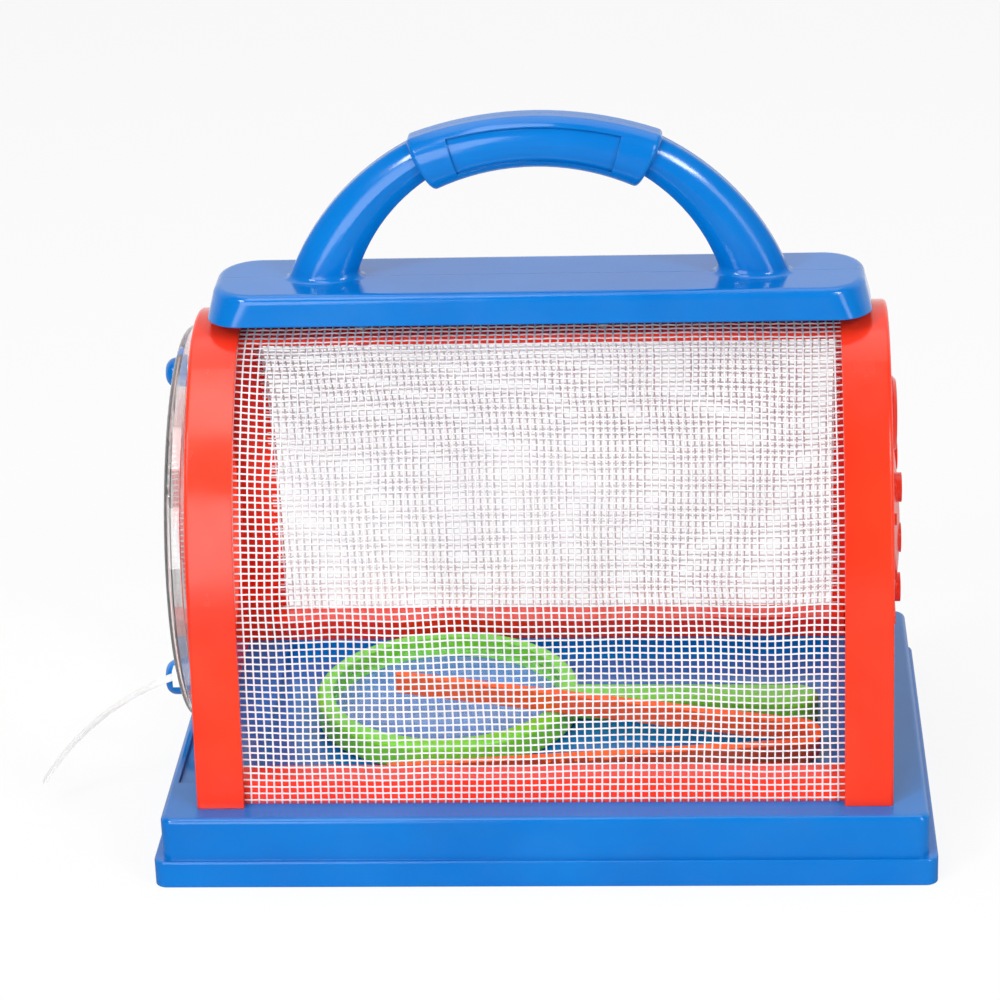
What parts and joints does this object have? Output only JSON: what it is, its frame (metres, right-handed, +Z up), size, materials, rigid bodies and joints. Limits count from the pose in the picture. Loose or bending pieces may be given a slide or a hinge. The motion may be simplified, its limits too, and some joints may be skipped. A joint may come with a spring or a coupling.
{
  "type": "bug cage",
  "caption": "Arched mesh bug cage on a tray base, with a carry handle along the ridge, a round clear swing door at its end, and a magnifying glass and tweezers inside.",
  "frame": {"origin": "centre of the tray's underside, on the surface it stands on", "axes": "+X along the cage away from the door end, +Y from front to rear, +Z up"},
  "size_m": [0.2605, 0.139, 0.2043],
  "materials": {
    "blue_plastic": "glossy moulded",
    "red_plastic": "glossy moulded",
    "white_mesh": "woven nylon screen",
    "clear_plastic": "clear moulded",
    "white_nylon": "natural nylon",
    "green_plastic": "glossy moulded",
    "orange_plastic": "glossy moulded",
    "screw_steel": "zinc plated"
  },
  "bodies": {
    "cage": {"base_tray": "blue_plastic", "base_screws": "screw_steel", "door_end_frame": "red_plastic", "relief_end_frame": "red_plastic", "front_sill": "red_plastic", "rear_sill": "red_plastic", "ridge_strip": "red_plastic", "ridge_screws": "screw_steel", "mesh_screen": "white_mesh", "handle_front_half": "blue_plastic", "handle_rear_half": "blue_plastic", "handle_screws": "screw_steel", "door_pivot_pin": "blue_plastic", "pivot_washer": "blue_plastic", "pivot_cap": "blue_plastic"},
    "door": {"clear_door": "clear_plastic", "door_knob": "blue_plastic", "knob_cap": "blue_plastic", "nylon_tie": "white_nylon"},
    "magnifier": {"magnifier_frame": "green_plastic", "magnifier_lens": "clear_plastic"},
    "tweezers": {"tweezers": "orange_plastic"}
  },
  "joints": [
    {"name": "door_swing", "type": "hinge", "parent": "cage", "child": "door", "pos_m": [-0.1005, 0, 0.129], "axis": [1, 0, 0], "continuous": true},
    {"name": "magnifier_lift", "type": "slide", "parent": "cage", "child": "magnifier", "axis": [0, 0, 1], "range_m": [0, 0.025]},
    {"name": "tweezers_lift", "type": "slide", "parent": "magnifier", "child": "tweezers", "axis": [0, 0, 1], "range_m": [0, 0.02]}
  ]
}
